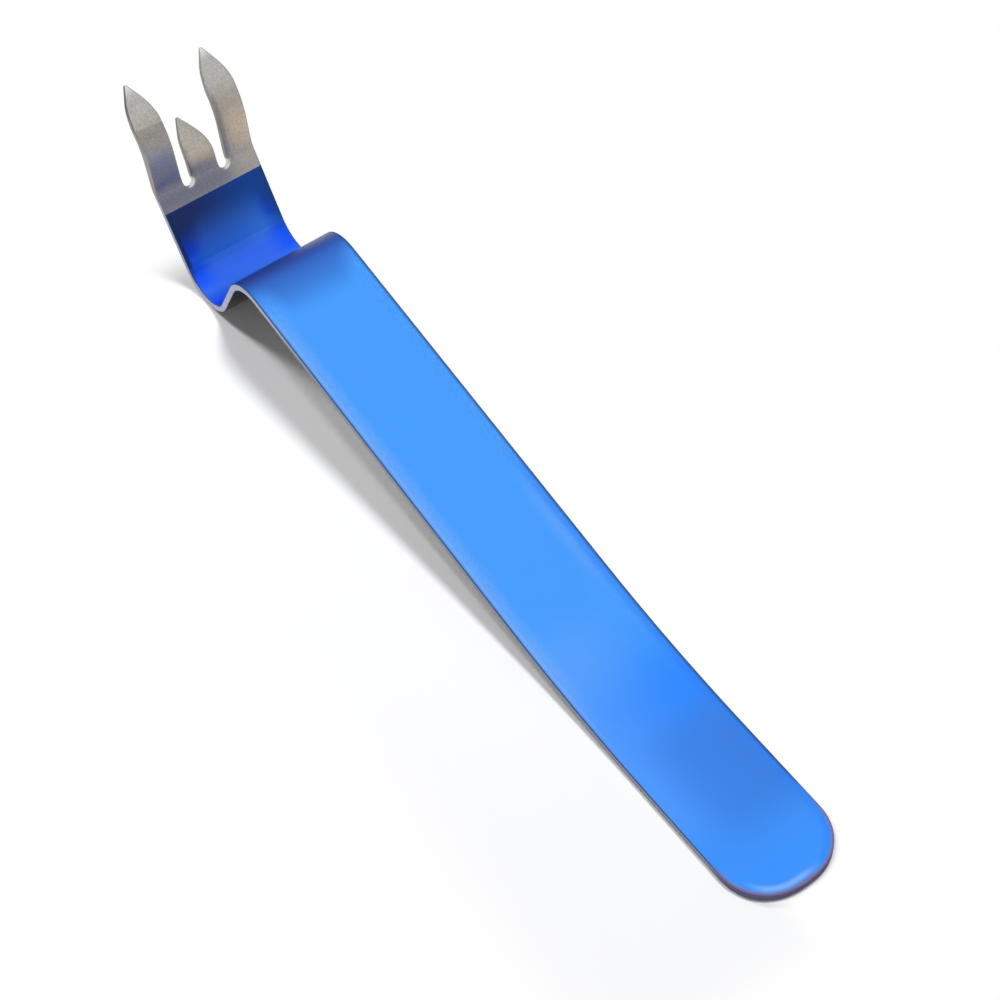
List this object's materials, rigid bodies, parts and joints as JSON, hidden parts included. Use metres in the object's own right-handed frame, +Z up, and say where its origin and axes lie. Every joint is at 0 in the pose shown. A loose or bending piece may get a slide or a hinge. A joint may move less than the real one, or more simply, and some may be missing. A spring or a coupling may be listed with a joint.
{
  "type": "handheld surgical retractor",
  "caption": "Small one-piece retractor bent from flat steel strip, with a flat finger handle, a raised crook and a forked hooked head that holds tissue back.",
  "frame": {"origin": "middle of the footprint, on the surface that the part lies on", "axes": "+X along the strip from the handle's rounded end to the prongs, +Y across the strip to the left, +Z up out of the supporting surface"},
  "size_m": [0.14, 0.0164, 0.0262],
  "materials": {
    "coated_steel": "satin"
  },
  "bodies": {
    "root": {"retractor": "coated_steel"}
  },
  "joints": []
}
